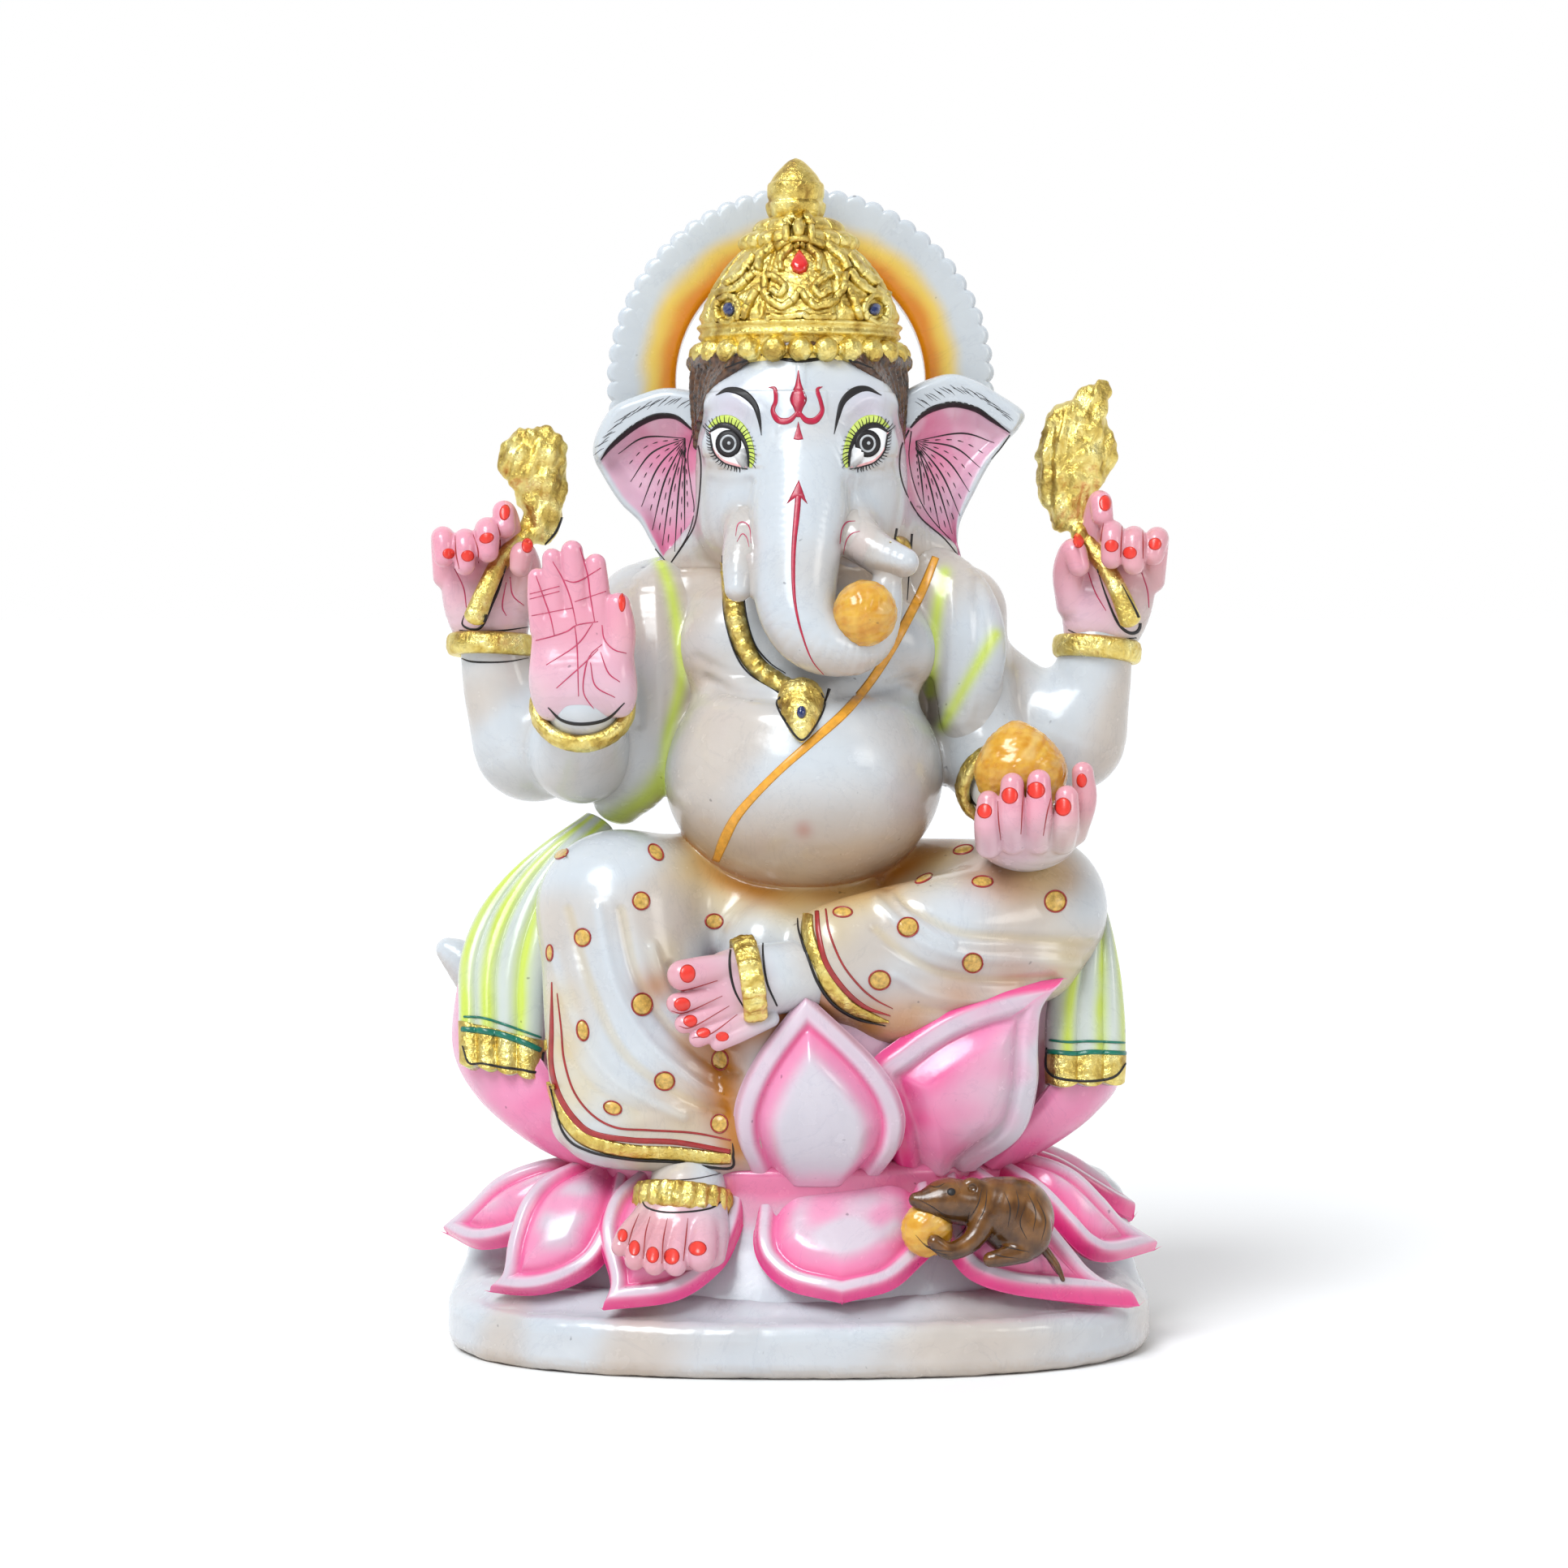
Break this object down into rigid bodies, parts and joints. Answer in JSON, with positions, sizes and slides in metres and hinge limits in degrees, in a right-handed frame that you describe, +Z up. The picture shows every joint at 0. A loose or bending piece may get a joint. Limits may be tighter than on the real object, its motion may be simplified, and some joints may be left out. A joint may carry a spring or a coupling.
{
  "type": "ganesha idol",
  "caption": "Seated four-armed elephant-headed devotional idol on a two-tier lotus seat with a ring halo and a small mouse, carved in marble, gilded and painted.",
  "frame": {"origin": "centre of the box's bottom face, on the surface the idol stands on", "axes": "+Z up to the crown's tip; the idol faces -Y; +X is the viewer's right, the idol's own left"},
  "size_m": [0.189, 0.1152, 0.305],
  "materials": {
    "white_marble": "polished white marble with faint grey veins",
    "petal_paint": "pink paint wash over white marble, gloss lacquer",
    "skin_paint": "pale pink paint with crimson lines over marble, gloss lacquer",
    "gold_leaf": "gold leaf laid on carved marble, satin to gloss",
    "saffron_paint": "orange paint over marble, gloss lacquer",
    "scarf_paint": "yellow-green paint stripes over marble, gloss lacquer",
    "hair_paint": "brown paint over marble, satin",
    "mouse_paint": "brown paint over marble, satin",
    "black_line_paint": "thin black brush lines over marble, satin",
    "crimson_paint": "crimson and red brush work over marble, gloss lacquer",
    "green_paint": "dark green brush lines over marble, gloss lacquer",
    "blue_gem_paint": "dark blue painted gems on gold leaf, gloss lacquer"
  },
  "bodies": {
    "root": {"trunk_sweet": "saffron_paint", "palm_sweet": "saffron_paint", "mouse_sweet": "saffron_paint", "mouse": "mouse_paint", "axe": "gold_leaf", "lotus_bud": "gold_leaf", "right_front_hand": "skin_paint", "right_rear_hand": "skin_paint", "left_rear_hand": "skin_paint", "left_front_hand": "skin_paint", "right_foot": "skin_paint", "left_foot": "skin_paint", "right_front_bangle": "gold_leaf", "right_rear_bangle": "gold_leaf", "left_rear_bangle": "gold_leaf", "left_front_bangle": "gold_leaf", "right_anklet": "gold_leaf", "left_anklet": "gold_leaf", "pendant": "gold_leaf", "necklace": "gold_leaf", "right_tusk": "white_marble", "left_tusk": "white_marble", "trunk": "white_marble", "right_ear": "white_marble", "left_ear": "white_marble", "crown_finial": "gold_leaf", "crown_collar": "gold_leaf", "crown_dome": "gold_leaf", "crown_brim": "gold_leaf", "hair_band": "hair_paint", "head": "white_marble", "scarf_right_end": "scarf_paint", "scarf_left_end": "scarf_paint", "scarf_right_shoulder": "scarf_paint", "scarf_left_shoulder": "scarf_paint", "right_front_arm": "white_marble", "right_rear_arm": "white_marble", "left_rear_arm": "white_marble", "left_front_arm": "white_marble", "dhoti_right_leg": "white_marble", "dhoti_left_leg": "white_marble", "torso": "white_marble", "dhoti_lap": "white_marble", "upper_petal_front": "petal_paint", "upper_petal_left_front": "petal_paint", "upper_petal_left": "petal_paint", "upper_petal_right": "petal_paint", "upper_petal_right_back": "petal_paint", "upper_petal_left_back": "petal_paint", "lotus_seat": "petal_paint", "lower_petal_front": "petal_paint", "lower_petal_right_front": "petal_paint", "lower_petal_left_front": "petal_paint", "lower_petal_right": "petal_paint", "lower_petal_left": "petal_paint", "lower_petal_right_far": "petal_paint", "lower_petal_left_back": "petal_paint", "lotus_foot": "petal_paint", "halo": "white_marble", "base_slab": "white_marble"}
  },
  "joints": []
}
